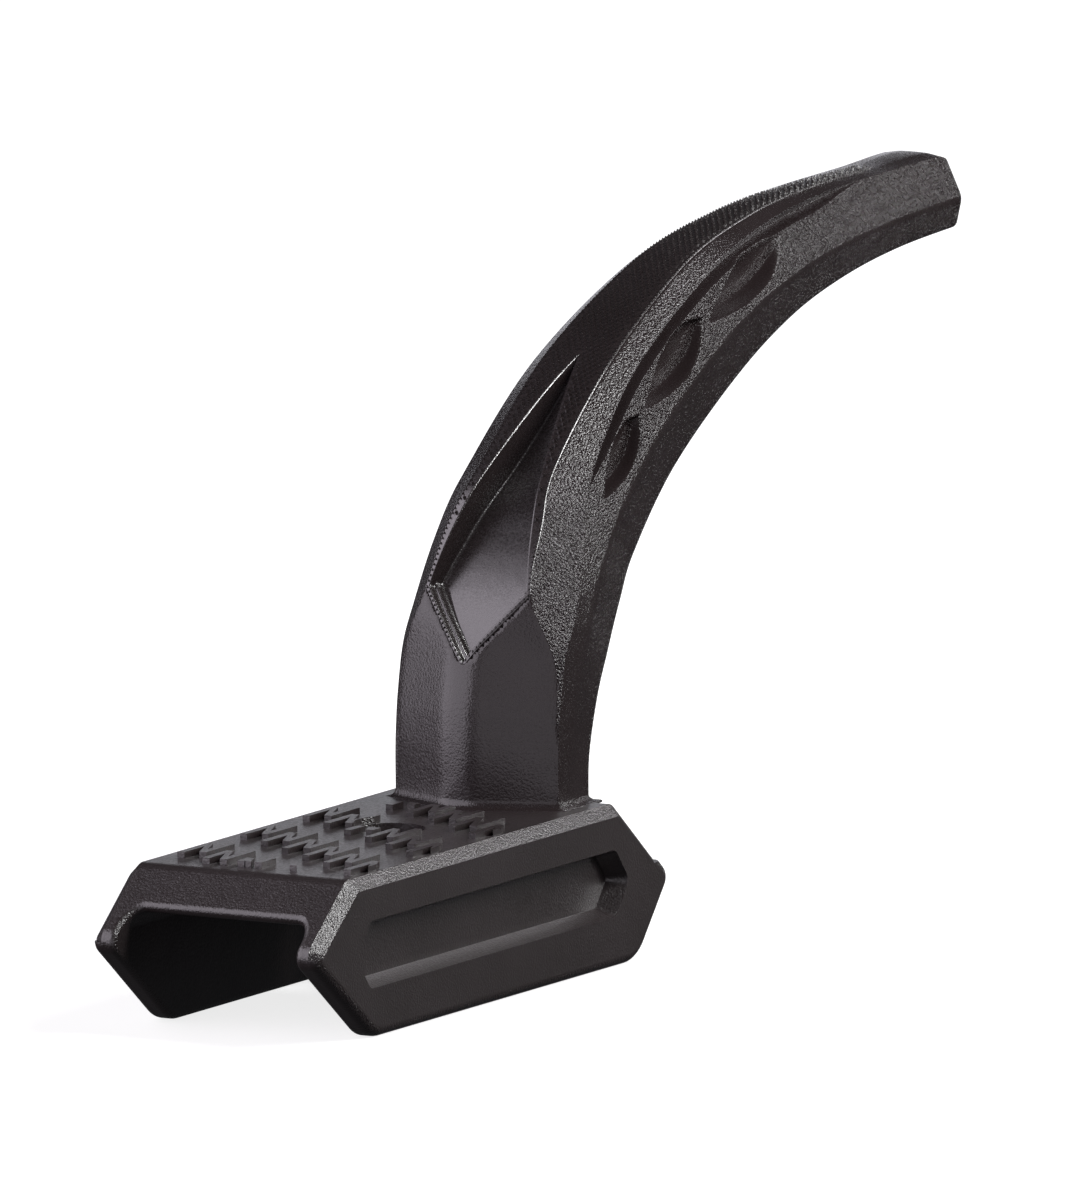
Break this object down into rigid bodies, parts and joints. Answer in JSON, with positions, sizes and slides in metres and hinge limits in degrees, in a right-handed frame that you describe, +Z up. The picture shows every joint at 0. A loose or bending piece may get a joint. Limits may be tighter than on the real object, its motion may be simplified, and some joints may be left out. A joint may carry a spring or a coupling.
{
  "type": "hooked horn fitting",
  "caption": "Channel foot that sits over a bar, with a bolt hole, a toothed top and a curved horn with a knurled grip strip.",
  "frame": {"origin": "on the bolt hole's axis, at the underside of the top plate, where a bar in the channel meets it", "axes": "+X across the channel, +Y along the channel from the bolt hole towards the horn's tip, +Z up out of the plate"},
  "size_m": [0.0488, 0.286, 0.1328],
  "materials": {
    "foot_plastic": "dark grey, finely grained moulded plastic",
    "horn_plastic": "dark grey, satin moulded plastic",
    "grip_plastic": "dark grey, knurled moulded plastic",
    "insert_brass": "turned",
    "screw_steel": "zinc plated"
  },
  "bodies": {
    "root": {"channel_foot": "foot_plastic", "horn": "horn_plastic", "horn_grip": "grip_plastic", "horn_insert_left": "insert_brass", "horn_insert_right": "insert_brass", "horn_screw_left": "screw_steel", "horn_screw_right": "screw_steel"}
  },
  "joints": []
}
